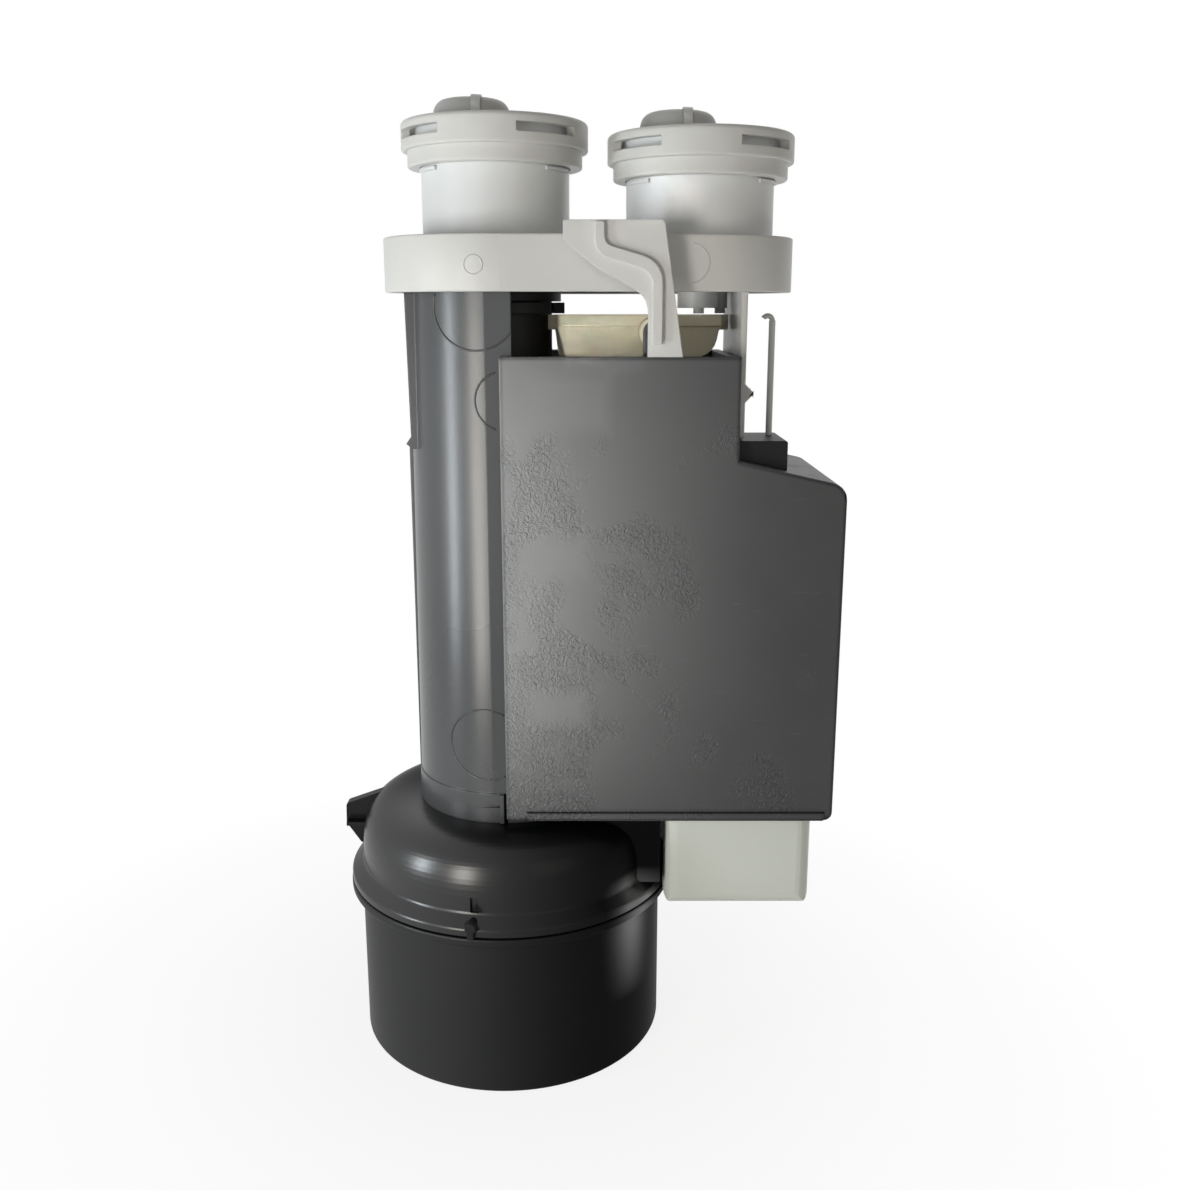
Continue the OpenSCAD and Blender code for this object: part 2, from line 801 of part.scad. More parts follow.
// White lock ring with a stepped lip and windows that take the lugs of the cistern lid
module lock_ring(ring_z, turn) {
    band_z0 = ring_z - band_h;
    window_z0 = ring_z - 4.9;
    window_z1 = ring_z - 2.5;
    difference() {
        rotate_extrude()
            polygon(rounded([
                [cup_r + gap, band_z0 - ring_lip_h],
                [ring_lip_r, band_z0 - ring_lip_h, edge],
                [ring_lip_r, band_z0],
                [ring_r, band_z0, edge],
                [ring_r, ring_z, 2 * edge],
                [ring_bore, ring_z, edge],
                [ring_bore, band_z0],
                [cup_r + gap, band_z0]
            ]));
        for (i = [0:band_windows - 1])
            ring_arc(
                ring_bore - eps, ring_r + eps, window_z0, window_z1,
                turn + i * 360 / band_windows, band_window_arc
            );
    }
}

module lock_ring_left() {
    color("#f2f4f5")
        translate([button_left_x, 0, 0])
            lock_ring(ring_left_z, 308);
}

module lock_ring_right() {
    color("#f2f4f5")
        translate([button_right_x, 0, 0])
            lock_ring(ring_right_z, 311);
}

// Rounded thumb knob, grown by a margin
module knob(ring_z, margin) {
    knob_top = ring_z + knob_rise + margin;
    translate([-knob_offset, 0, 0])
        rotate_extrude()
            polygon(concat(
                [[0, ring_z - cap_drop - eps], [knob_r + margin, ring_z - cap_drop - eps]],
                oval_arc(knob_r + margin - 4, knob_top - 4.5, 4, 4.5, 8, 2.3),
                [[0, knob_top]]
            ));
}

// Grey button cap: a disc with a raised rim, the thumb knob and a slot for the white rib
module button_cap(ring_z) {
    cap_z1 = ring_z - cap_drop;
    difference() {
        union() {
            translate([0, 0, cap_z1 - cap_t])
                cylinder(r = cap_r, h = cap_t);
            ring(cap_r - 1.4, cap_r, cap_z1 - eps, cap_z1 + 1);
            knob(ring_z, 0);
        }
        block(
            [rib_x - rib_w / 2 - seat_fit / 2, -knob_r - 1, cap_z1 - cap_t - eps],
            [rib_x + rib_w / 2 + seat_fit / 2, knob_r + 1, ring_z + knob_rise + eps]
        );
    }
}

module button_left() {
    color("#8f9291")
        translate([button_left_x, 0, 0])
            button_cap(ring_left_z);
}

module button_right() {
    color("#8f9291")
        translate([button_right_x, 0, 0])
            button_cap(ring_right_z);
}

// White core of a button: the rib that shows through the knob, the disc under the cap and the guide post
module button_core(ring_z, disc_r, post_z0) {
    disc_z1 = ring_z - disc_drop;
    intersection() {
        knob(ring_z, rib_proud);
        block(
            [rib_x - rib_w / 2, -knob_r, disc_z1],
            [rib_x + rib_w / 2, knob_r, ring_z + knob_rise + 1]
        );
    }
    block(
        [rib_x - rib_w / 2, -knob_r, disc_z1 - eps],
        [rib_x + rib_w / 2, knob_r, disc_z1 + cap_t]
    );
    translate([0, 0, disc_z1 - disc_t])
        cylinder(r = disc_r, h = disc_t);
    translate([0, 0, post_z0])
        cylinder(r = post_r, h = disc_z1 - post_z0 - eps);
}

// Left core: its leg passes the floor of the cup and its arm reaches across to the half-flush lever
module push_arm() {
    arm_z1 = arm_z0 + arm_t;
    foot_z = lever_top + gap;
    color("#f0f1ee") {
        translate([button_left_x, 0, 0]) {
            button_core(ring_left_z, leg_r1 + gap, ring_left_z - cup_floor_drop - 2);
            ring_arc(
                leg_r0, leg_r1, arm_z0, ring_left_z - disc_drop - eps, (leg_a0 + leg_a1) / 2, leg_a1 - leg_a0
            );
        }
        block([0.6, stem_r + 0.6, arm_z0], [7, arm_y1, arm_z1]);
        block([0.6, arm_y0, arm_z0], [arm_foot_x + arm_foot_r, arm_y1, arm_z1]);
        block(
            [arm_foot_x - arm_foot_r, arm_foot_y, arm_z0],
            [arm_foot_x + arm_foot_r, arm_y1, arm_z1]
        );
        translate([arm_foot_x, arm_foot_y, foot_z + nub_h])
            cylinder(r = arm_foot_r, h = arm_z1 - foot_z - nub_h);
        translate([arm_foot_x, arm_foot_y, foot_z])
            cylinder(r = nub_r, h = nub_h + eps);
    }
}

// Right core: a plain plunger with a half-round foot over the flush lever
module plunger() {
    foot_r = post_r + 1.7;
    foot_z = lever_top + gap + nub_h;
    color("#f0f1ee")
        translate([button_right_x, 0, 0]) {
            button_core(ring_right_z, cap_r - 3, foot_z + 3);
            intersection() {
                translate([0, 0, foot_z])
                    cylinder(r = foot_r, h = 5);
                block([-foot_r, -foot_r, foot_z - eps], [foot_r, lever_split - 0.4, foot_z + 6]);
            }
            translate([0, -post_r, foot_z - nub_h])
                cylinder(r = nub_r, h = nub_h + eps);
        }
}

// Points of one ring of spring wire, turned to an angle round the coil
function wire_ring(coil_r, wire_r, z, a, sides) =
    [for (j = [0:sides - 1])
        let (b = j * 360 / sides, r = coil_r + wire_r * cos(b))
        [r * cos(a), r * sin(a), z + wire_r * sin(b)]];

// Helical spring of round wire between two heights
module coil(coil_r, wire_r, z0, z1, turns) {
    sides = 6;
    steps = turns * 18;
    rise = z1 - z0 - 2 * wire_r;
    points = [for (i = [0:steps])
        each wire_ring(coil_r, wire_r, z0 + wire_r + rise * i / steps, i * 20, sides)];
    walls = [for (i = [0:steps - 1], j = [0:sides - 1])
        let (a = i * sides + j, b = i * sides + (j + 1) % sides)
        each [[a, a + sides, b], [b, a + sides, b + sides]]];
    first = [for (j = [0:sides - 1]) j];
    last = [for (j = [sides - 1:-1:0]) steps * sides + j];
    polyhedron(points, concat(walls, [first, last]));
}

// Return spring between the floor of a cup and the disc of its button core
module return_spring(x, ring_z) {
    color("#c8ccd0")
        translate([x, 0, 0])
            coil(
                post_r + 3, 0.7, ring_z - cup_floor_drop + cup_floor_t + seat_fit,
                ring_z - disc_drop - disc_t - seat_fit, 5
            );
}

module spring_left() {
    return_spring(button_left_x, ring_left_z);
}

module spring_right() {
    return_spring(button_right_x, ring_right_z);
}

// A lever on the pin: a web under a wider top flange, with a long hub, between y0 (outside) and y1 (inside).
// The web runs from web_x0 at the flange and heel_x at the belly, and a thin tip reaches on to tip_x0.
module lever(tip_x0, web_x0, heel_x, x1, belly_x1, y0, y1, hub_y) {
    web_low = min(y0, y1);
    web_high = max(y0, y1);
    flange_z0 = lever_top - lever_flange_t;
    belly_z = box_z1 - 1;
    outward = y0 < y1 ? -1 : 1;
    tip_y = y1 + outward * tip_w;
    difference() {
        union() {
            side_extrude(web_low, web_high)
                polygon(rounded([
                    [web_x0, flange_z0 - 1.1],
                    [heel_x, belly_z, 1],
                    [belly_x1, belly_z, 6],
                    [belly_x1 + 1.5, flange_z0 - 1.1],
                    [x1, flange_z0 - 1.1, edge],
                    [x1, lever_top],
                    [web_x0, lever_top]
                ]));
            block(
                [tip_x0, min(y1, tip_y), flange_z0 - 1],
                [web_x0 + 2, max(y1, tip_y), lever_top]
            );
            block(
                [lever_x0 + 0.5, min(web_low, web_low + outward * flange_over), flange_z0],
                [x1, max(web_high, web_high + outward * flange_over), lever_top]
            );
            translate([pivot_x, max(y1, hub_y), pivot_z])
                rotate([90, 0, 0])
                    cylinder(r = hub_r, h = abs(hub_y - y1));
        }
        translate([pivot_x, inner_y, pivot_z])
            rotate([90, 0, 0])
                cylinder(r = pin_r + run_fit, h = 2 * inner_y);
    }
}

// Cream full-flush lever, whose tip lifts the top of the slot in the stem
module flush_lever() {
    color("#e9e6d2")
        lever(
            tip_x, lever_x0, lever_x0 + 2, flush_lever_x1, flush_lever_x1 - 2,
            -lever_split - lever_w, -lever_split, -lug_y + gap
        );
}

// Cream half-flush lever behind it, whose end lifts the ring round the stem
module half_lever() {
    color("#e9e6d2")
        lever(
            stem_r + 0.7, stem_r + 0.9, stem_r + 1.8, half_lever_x1, flush_lever_x1 - 5,
            lever_split + lever_w, lever_split, lug_y - gap
        );
}

// Open ring round the stem that the half-flush lever lifts under the collar
module lift_ring() {
    color("#d9d6c4")
        difference() {
            ring(stem_r + gap, lift_ring_r, slot_z1, slot_z1 + lift_ring_t);
            block(
                [stem_r / 2, -lever_split - lever_w - 2.4, slot_z1 - eps],
                [base_r, lever_split / 2, slot_z1 + lift_ring_t + eps]
            );
        }
}

// Black overflow stem: a tube with a lever slot, a lifting collar and the flange that backs the seal
module overflow_stem() {
    tail_z0 = seal_z - nut_h;
    color("#111213")
        difference() {
            union() {
                translate([0, 0, seal_z + seal_t])
                    cylinder(r = stem_r, h = stem_z1 - seal_z - seal_t);
                difference() {
                    translate([0, 0, collar_z0])
                        cylinder(r = collar_r, h = stem_z1 - collar_z0);
                    block([-3, stem_r - 1.4, collar_z0 - eps], [10, base_r, stem_z1 + eps]);
                }
                translate([0, 0, tail_z0])
                    cylinder(r = tail_r, h = seal_t + nut_h + eps);
                translate([0, 0, seal_z + seal_t])
                    cylinder(r = seal_r - 2, h = 2);
                translate([0, 0, seal_z + seal_t + 2])
                    cylinder(r1 = stem_r + 5, r2 = stem_r, h = 8);
            }
            translate([0, 0, tail_z0 - eps])
                cylinder(r = stem_r - stem_wall, h = stem_z1 - tail_z0 + 2 * eps);
            block(
                [stem_r / 2, -lever_split - tip_w - 2 * gap, slot_z0],
                [base_r, lever_split / 2, slot_z1]
            );
        }
}

// Rubber washer that closes on the valve seat
module seal_washer() {
    color("#2c2d30")
        rotate_extrude()
            polygon(rounded([
                [tail_r + seat_fit / 2, seal_z],
                [seal_r, seal_z, edge],
                [seal_r, seal_z + seal_t, edge],
                [tail_r + seat_fit / 2, seal_z + seal_t]
            ]));
}

// Nut on the tail of the stem that clamps the washer
module seal_nut() {
    grips = 8;
    color("#e4e4e0")
        translate([0, 0, seal_z - nut_h])
            difference() {
                cylinder(r = tail_r + 4.5, h = nut_h);
                translate([0, 0, -eps])
                    cylinder(r = tail_r + seat_fit / 2, h = nut_h + 2 * eps);
                for (i = [0:grips - 1])
                    rotate(i * 360 / grips)
                        translate([tail_r + 5.5, 0, -eps])
                            cylinder(r = 1.8, h = nut_h + 2 * eps);
            }
}

// Side outline of the float with round lower corners, drawn in by an inset
function tub_outline(low, high, z0, z1, r) = rounded([[low, z0, r], [high, z0, r], [high, z1], [low, z1]]);

// Block with round lower edges and round upright corners, hollowed on its left round the lip of the base cup
module tub_solid(inset, z1) {
    corner_r = 4.2 - inset;
    x0 = float_x0 + inset;
    x1 = float_x1 - inset;
    y1 = float_d / 2 - inset;
    z0 = float_z0 + inset;
    difference() {
        intersection() {
            side_extrude(-float_d, float_d)
                polygon(tub_outline(x0, x1, z0, z1, corner_r));
            rotate([90, 0, 90])
                linear_extrude(box_x1)
                    polygon(tub_outline(-y1, y1, z0, z1, corner_r));
            translate([0, 0, z0])
                linear_extrude(z1 - z0)
                    polygon(rounded([
                        [x0, -y1, corner_r],
                        [x1, -y1, corner_r],
                        [x1, y1, corner_r],
                        [x0, y1, corner_r]
                    ]));
        }
        translate([0, 0, z0 - eps])
            cylinder(r = hollow_r + inset, h = z1 - z0 + 2 * eps);
    }
}

// Pale float that hangs through the floor of the flush box
module float_tub() {
    color("#dfe3dc")
        difference() {
            tub_solid(0, float_z1);
            tub_solid(float_wall, float_z1 + eps);
        }
}

// Lid of the float: a flange that rests on the floor of the box, and the boss for the rod
module float_lid() {
    boss_r = rod_r + 2;
    x1 = min(float_x1 + lid_over, box_x1 - box_wall - 2 * gap);
    y1 = float_d / 2 + lid_over;
    color("#dfe3dc")
        difference() {
            union() {
                block([float_x0 - lid_over, -y1, float_z1], [x1, y1, float_z1 + lid_t]);
                translate([rod_x, rod_y, float_z1 + lid_t - eps])
                    cylinder(r = boss_r, h = 7);
            }
            translate([rod_x, rod_y, float_z1 + lid_t])
                cylinder(r = rod_r + seat_fit / 2, h = 8);
        }
}

// Thin rod on the float, hooked over at its top
module float_rod() {
    color("#d6d8d8") {
        translate([rod_x, rod_y, float_z1 + lid_t + seat_fit / 2])
            cylinder(r = rod_r, h = hook_z - float_z1 - lid_t);
        translate([rod_x - hook_r, rod_y, hook_z])
            rotate([90, 0, 0])
                rotate(-20)
                    rotate_extrude(angle = 170)
                        translate([hook_r, 0])
                            circle(r = rod_r - 0.2);
    }
}

base_cup();
outlet_seal();
valve_dome();
index_peg();
column();
stem_guide();
flush_box();
rod_guide();
top_bridge();
latch_arm();
lever_pin();
cup_left();
cup_right();
lock_ring_left();
lock_ring_right();
button_left();
button_right();
push_arm();
plunger();
spring_left();
spring_right();
flush_lever();
half_lever();
lift_ring();
overflow_stem();
seal_washer();
seal_nut();
float_tub();
float_lid();
float_rod();
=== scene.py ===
"""Looks of a dual-flush drop valve for a toilet cistern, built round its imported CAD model."""

from math import radians

import bpy
import numpy as np
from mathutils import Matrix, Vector


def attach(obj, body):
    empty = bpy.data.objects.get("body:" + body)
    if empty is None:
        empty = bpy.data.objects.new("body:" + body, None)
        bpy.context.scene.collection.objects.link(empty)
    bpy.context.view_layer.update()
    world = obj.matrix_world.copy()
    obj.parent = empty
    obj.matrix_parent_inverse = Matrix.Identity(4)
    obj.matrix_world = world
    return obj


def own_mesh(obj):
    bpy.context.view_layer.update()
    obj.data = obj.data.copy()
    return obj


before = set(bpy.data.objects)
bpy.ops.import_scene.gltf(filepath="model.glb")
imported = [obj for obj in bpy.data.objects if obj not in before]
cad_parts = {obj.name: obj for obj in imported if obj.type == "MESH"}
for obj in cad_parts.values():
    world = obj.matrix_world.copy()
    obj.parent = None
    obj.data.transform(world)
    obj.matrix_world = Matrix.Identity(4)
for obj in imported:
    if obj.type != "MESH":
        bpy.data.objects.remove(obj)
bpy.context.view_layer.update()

# Base cup and valve dome: black polypropylene shells, satin and glossy, whose coat weight paints the
# light: heavy on the front left, towards the window lamp, for a painted sheen, light elsewhere, for
# painted dark reflections, and heavy on a narrow stripe on the front right, for a painted highlight.
# The dome turns under three bayonet lugs of the cup, and a rubber ring at the end of the cup's socket
# seals on the cistern's outlet stub.


def feed(tree, term, socket):
    """Gives a node's input its term: a socket is linked to it, and a plain value is set on it."""
    if isinstance(term, bpy.types.NodeSocket):
        tree.links.new(term, socket)
    else:
        socket.default_value = term


def reckon(tree, operation, *terms, clamp=False):
    """Math node in a tree, over numbers or sockets. Returns its output."""
    node = tree.nodes.new("ShaderNodeMath")
    node.operation = operation
    node.use_clamp = clamp
    for term, socket in zip(terms, node.inputs):
        feed(tree, term, socket)
    return node.outputs["Value"]


def ramp(tree, value, start, end, low=0.0, high=1.0):
    """Straight ramp in a tree, from low where value is start to high where it is end, level beyond both.
    Returns its output."""
    node = tree.nodes.new("ShaderNodeMapRange")
    for name, term in (
        ("Value", value), ("From Min", start), ("From Max", end), ("To Min", low), ("To Max", high),
    ):
        feed(tree, term, node.inputs[name])
    return node.outputs["Result"]


def noise(tree, place, scale, detail, distortion=0.0):
    """Noise in a tree, over a place. Returns its output, which runs about 0.5."""
    node = tree.nodes.new("ShaderNodeTexNoise")
    for name, term in (("Vector", place), ("Scale", scale), ("Detail", detail), ("Distortion", distortion)):
        feed(tree, term, node.inputs[name])
    return node.outputs["Fac"]


def colour_mix(tree, share, first, second):
    """Colour in a tree that goes from first to second with share. Returns its output."""
    node = tree.nodes.new("ShaderNodeMix")
    node.data_type = "RGBA"
    feed(tree, share, node.inputs["Factor"])
    for colour, socket in ((first, node.inputs["A"]), (second, node.inputs["B"])):
        feed(tree, (*colour, 1.0) if isinstance(colour, tuple) else colour, socket)
    return node.outputs["Result"]


def new_group(name, vectors, numbers, results):
    """Node group with the named vector and number inputs and number outputs.
    Returns it with its input and output nodes."""
    group = bpy.data.node_groups.new(name, "ShaderNodeTree")
    for label in vectors:
        group.interface.new_socket(label, in_out="INPUT", socket_type="NodeSocketVector")
    for label in numbers:
        group.interface.new_socket(label, in_out="INPUT", socket_type="NodeSocketFloat")
    for label in results:
        group.interface.new_socket(label, in_out="OUTPUT", socket_type="NodeSocketFloat")
    return group, group.nodes.new("NodeGroupInput"), group.nodes.new("NodeGroupOutput")


def moulded_skin():
    """Node group for any moulding: Grain is a fine even noise, Tone a slow cloudy one,
    and Scuff is a mask of short scratches, a noise drawn out along one axis and cut off high."""
    scratch_stretch = (1.0, 1.0, 10.0)
    scratch_start, scratch_full = 0.68, 0.78
    group, entry, leave = new_group(
        "moulded_skin", ("Vector",), ("Grain Scale", "Tone Scale", "Scuff Scale"),
        ("Grain", "Tone", "Scuff"),
    )
    place = entry.outputs["Vector"]
    drawn = group.nodes.new("ShaderNodeMapping")
    drawn.inputs["Scale"].default_value = scratch_stretch
    feed(group, place, drawn.inputs["Vector"])
    scratch = noise(group, drawn.outputs["Vector"], entry.outputs["Scuff Scale"], detail=5.0)
    feed(group, noise(group, place, entry.outputs["Grain Scale"], detail=3.0), leave.inputs["Grain"])
    feed(group, noise(group, place, entry.outputs["Tone Scale"], detail=4.0), leave.inputs["Tone"])
    feed(group, ramp(group, scratch, scratch_start, scratch_full), leave.inputs["Scuff"])
    return group


skin_group = moulded_skin()


def moulding(name, deep, pale, rough, level, worn, wear, grain=1500.0, tone=25.0, scuff=60.0):
    """Material of one moulding: colour goes from deep to pale with Tone and to worn where
    Scuff cuts in, roughness runs over the pair rough with Tone, Grain lifts the surface,
    and a small bevel in the normals takes the knife edge off the corners."""
    tone_low, tone_high = 0.3, 0.7
    grain_depth, grain_strength = 0.00004, 0.5
    edge_radius, edge_samples = 0.0005, 4
    material = bpy.data.materials.new(name)
    material.use_nodes = True
    tree = material.node_tree
    shader = tree.nodes["Principled BSDF"]
    shader.inputs["Specular IOR Level"].default_value = level
    place = tree.nodes.new("ShaderNodeTexCoord")
    skin = tree.nodes.new("ShaderNodeGroup")
    skin.node_tree = skin_group
    skin.inputs["Grain Scale"].default_value = grain
    skin.inputs["Tone Scale"].default_value = tone
    skin.inputs["Scuff Scale"].default_value = scuff
    feed(tree, place.outputs["Object"], skin.inputs["Vector"])
    cloudy = skin.outputs["Tone"]
    body = colour_mix(tree, ramp(tree, cloudy, tone_low, tone_high), deep, pale)
    scratched = reckon(tree, "MULTIPLY", skin.outputs["Scuff"], wear)
    feed(tree, colour_mix(tree, scratched, body, worn), shader.inputs["Base Color"])
    feed(tree, ramp(tree, cloudy, tone_low, tone_high, *rough), shader.inputs["Roughness"])
    eased = tree.nodes.new("ShaderNodeBevel")
    eased.samples = edge_samples
    eased.inputs["Radius"].default_value = edge_radius
    lift = tree.nodes.new("ShaderNodeBump")
    lift.inputs["Strength"].default_value = grain_strength
    lift.inputs["Distance"].default_value = grain_depth
    feed(tree, eased.outputs["Normal"], lift.inputs["Normal"])
    feed(tree, skin.outputs["Grain"], lift.inputs["Height"])
    feed(tree, lift.outputs["Normal"], shader.inputs["Normal"])
    return material


def dress(material, *names):
    """Puts one material on the named CAD nodes."""
    for name in names:
        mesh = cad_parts[name].data
        mesh.materials.clear()
        mesh.materials.append(material)


def sheen_gloss_lobes():
    """Node group for the coat weight round a shell, at the angle a about the valve axis, which paints the
    light: Gloss is the larger of ((1 + cos(a + 130 degrees)) / 2) ^ 6, a painted sheen on the front left,
    towards the window lamp, and 3 ((1 + cos(a + 37 degrees)) / 2) ^ 200, a painted highlight stripe on
    the front right, which fades out below z = 42 mm and above z = 52 mm."""
    left_sheen_turn, left_sheen_power = 130.0, 6.0
    highlight_stripe_turn, highlight_stripe_power, highlight_stripe_gain = 37.0, 200.0, 3.0
    foot_none, foot_full, head_full, head_none = 0.020, 0.042, 0.052, 0.060
    group, entry, leave = new_group("sheen_gloss_lobes", ("Vector",), (), ("Gloss",))
    parts = group.nodes.new("ShaderNodeSeparateXYZ")
    feed(group, entry.outputs["Vector"], parts.inputs["Vector"])
    angle = reckon(group, "ARCTAN2", parts.outputs["Y"], parts.outputs["X"])
    # Two lobes of coat weight: a painted sheen towards the window lamp, and a painted highlight stripe on
    # the right.
    lobes = []
    for turn, power in ((left_sheen_turn, left_sheen_power), (highlight_stripe_turn, highlight_stripe_power)):
        swing = reckon(group, "COSINE", reckon(group, "ADD", angle, radians(turn)))
        lobes.append(reckon(group, "POWER", reckon(group, "MULTIPLY_ADD", swing, 0.5, 0.5), power))
    gloss_sheen, weld_and_highlight_stripe = lobes
    height = parts.outputs["Z"]
    weld_and_highlight_stripe = reckon(group, "MULTIPLY", weld_and_highlight_stripe, ramp(group, height, foot_none, foot_full, high=highlight_stripe_gain))
    weld_and_highlight_stripe = reckon(group, "MULTIPLY", weld_and_highlight_stripe, ramp(group, height, head_none, head_full))
    feed(group, reckon(group, "MAXIMUM", gloss_sheen, weld_and_highlight_stripe), leave.inputs["Gloss"])
    return group


sheen_gloss_group = sheen_gloss_lobes()


def glaze(material, weight, rough):
    """Gives a moulding its coat, whose weight is Gloss times the one given: a painted sheen on the front
    left and a painted highlight stripe on the front right.
    """
    tree = material.node_tree
    shader = tree.nodes["Principled BSDF"]
    shader.inputs["Coat IOR"].default_value = 1.9
    shader.inputs["Coat Roughness"].default_value = rough
    gloss_sheen = tree.nodes.new("ShaderNodeGroup")
    gloss_sheen.node_tree = sheen_gloss_group
    feed(tree, tree.nodes["Texture Coordinate"].outputs["Object"], gloss_sheen.inputs["Vector"])
    glossy = reckon(tree, "MULTIPLY", gloss_sheen.outputs["Gloss"], weight, clamp=True)
    feed(tree, glossy, shader.inputs["Coat Weight"])


black_satin = moulding(
    "black_satin", deep=(0.0045, 0.0048, 0.0052), pale=(0.0065, 0.0068, 0.0073), rough=(0.36, 0.44),
    level=0.015, worn=(0.03, 0.031, 0.033), wear=0.06, tone=18.0,
)
# The cup's coat paints a sheen on its left and a highlight stripe on its right.
glaze(black_satin, weight=0.34, rough=0.40)
dress(black_satin, "base_cup")
black_gloss = moulding(
    "black_gloss", deep=(0.0035, 0.0037, 0.0041), pale=(0.005, 0.0052, 0.0057), rough=(0.25, 0.30),
    level=0.02, worn=(0.03, 0.031, 0.033), wear=0.05, tone=18.0,
)
# The dome's coat paints a sheen on its left and a highlight stripe on its right.
glaze(black_gloss, weight=0.58, rough=0.275)
dress(black_gloss, "valve_dome")
black_matte = moulding(
    "black_matte", deep=(0.005, 0.005, 0.0053), pale=(0.008, 0.008, 0.0084), rough=(0.42, 0.55),
    level=0.2, worn=(0.05, 0.05, 0.05), wear=0.2,
)
dress(black_matte, "index_peg")
seal_rubber = moulding(
    "seal_rubber", deep=(0.012, 0.012, 0.013), pale=(0.022, 0.022, 0.023), rough=(0.6, 0.75),
    level=0.3, worn=(0.05, 0.05, 0.05), wear=0.2, grain=2600.0,
)
dress(seal_rubber, "outlet_seal")

# Column: a drafted charcoal tube, satin from its mould, pushed over the neck of the dome.
# Fine raised rings show where round inserts closed the mould on its front.
charcoal = moulding(
    "charcoal", deep=(0.040, 0.042, 0.045), pale=(0.058, 0.060, 0.063), rough=(0.26, 0.33),
    level=0.62, worn=(0.14, 0.14, 0.14), wear=0.1, tone=12.0,
)
dress(charcoal, "column")


def arc_on(node, x, z, radius, first, last):
    """Arc on the front surface of a CAD node: rays along +Y meet it over the circle about x, z,
    from the angle first to the angle last, in degrees."""
    count, start = 72, -1.0
    sweep = np.radians(np.linspace(first, last, count))
    over = zip(x + radius * np.cos(sweep), z + radius * np.sin(sweep))
    return np.array([node.ray_cast((a, start, b), (0.0, 1.0, 0.0))[1] for a, b in over])


def wire(name, path, radius, material, closed):
    """Round wire along a path that lies about across Y, riding the valve's body:
    p(i, j) = path(i) + radius * (cos b * n + sin b * m), with b = 2 pi j / sides and with n and m
    square to the path."""
    sides = 8
    along = np.roll(path, -1, 0) - np.roll(path, 1, 0)
    if not closed:
        along = np.gradient(path, axis=0)
    along /= np.linalg.norm(along, axis=1, keepdims=True)
    across = np.cross(along, (0.0, 1.0, 0.0))
    across /= np.linalg.norm(across, axis=1, keepdims=True)
    out = np.cross(along, across)
    turn = np.arange(sides) * 2.0 * np.pi / sides
    rim = np.cos(turn)[None, :, None] * across[:, None, :] + np.sin(turn)[None, :, None] * out[:, None, :]
    points = (path[:, None, :] + radius * rim).reshape(-1, 3)
    count = len(path)
    i, j = np.meshgrid(np.arange(count if closed else count - 1), np.arange(sides), indexing="ij")
    ahead, beside = (i + 1) % count, (j + 1) % sides
    quads = np.stack([i * sides + j, i * sides + beside, ahead * sides + beside, ahead * sides + j], -1)
    faces = quads.reshape(-1, 4).tolist()
    if not closed:
        faces.append(list(range(sides))[::-1])
        faces.append(list(range((count - 1) * sides, count * sides)))
    mesh = bpy.data.meshes.new(name)
    mesh.from_pydata(points.tolist(), [], faces)
    mesh.polygons.foreach_set("use_smooth", [True] * len(mesh.polygons))
    mesh.materials.append(material)
    piece = bpy.data.objects.new(name, mesh)
    bpy.context.scene.collection.objects.link(piece)
    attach(piece, "body")


insert_ring = 0.00028
bpy.context.view_layer.update()
for name, x, z, r, first, last in (
    ("mark_top", -0.0053, 0.2198, 0.0114, -196.0, -34.0),
    ("mark_middle", 0.0020, 0.1953, 0.0078, 106.0, 254.0),
    ("mark_low", -0.0046, 0.0985, 0.0105, 60.0, 300.0),
):
    line = arc_on(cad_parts["column"], x, z, r, first, last)
    wire(name, line, insert_ring, charcoal, closed=False)

# Flush box: a grey box of recycled polypropylene that saddles the column, its skin blistered
# on the left where the melt cooled early. Its colour carries a painted sheen, lighter to the left,
# towards the window lamp, and painted shade along its edges, dark and dull. A black block on its
# shoulder guides the float rod.


def soften(width, *names):
    """Rounds the sharp edges of the named CAD nodes: the loose triangles are welded, then bevelled."""
    for name in names:
        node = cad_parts[name]
        weld_and_highlight_stripe = node.modifiers.new("weld_and_highlight_stripe", "WELD")
        weld_and_highlight_stripe.merge_threshold = 0.000005
        bevel = node.modifiers.new("bevel", "BEVEL")
        bevel.width = width
        bevel.segments = 3
        bevel.limit_method = "ANGLE"
        bevel.angle_limit = radians(60)
        bevel.use_clamp_overlap = False


def smooth_patch():
    """Node group for one smooth rectangle on the front: Mask is 1 inside it and fades over Fade
    at its sides, min over x and z of (half - |p - centre|) / Fade, between 0 and 1."""
    group, entry, leave = new_group("smooth_patch", ("Vector", "Centre", "Half"), ("Fade",), ("Mask",))
    away = group.nodes.new("ShaderNodeVectorMath")
    away.operation = "SUBTRACT"
    size = group.nodes.new("ShaderNodeVectorMath")
    size.operation = "ABSOLUTE"
    room = group.nodes.new("ShaderNodeVectorMath")
    room.operation = "SUBTRACT"
    parts = group.nodes.new("ShaderNodeSeparateXYZ")
    feed(group, entry.outputs["Vector"], away.inputs[0])
    feed(group, entry.outputs["Centre"], away.inputs[1])
    feed(group, away.outputs["Vector"], size.inputs[0])
    feed(group, entry.outputs["Half"], room.inputs[0])
    feed(group, size.outputs["Vector"], room.inputs[1])
    feed(group, room.outputs["Vector"], parts.inputs["Vector"])
    least = reckon(group, "MINIMUM", parts.outputs["X"], parts.outputs["Z"])
    feed(group, reckon(group, "DIVIDE", least, entry.outputs["Fade"], clamp=True), leave.inputs["Mask"])
    return group


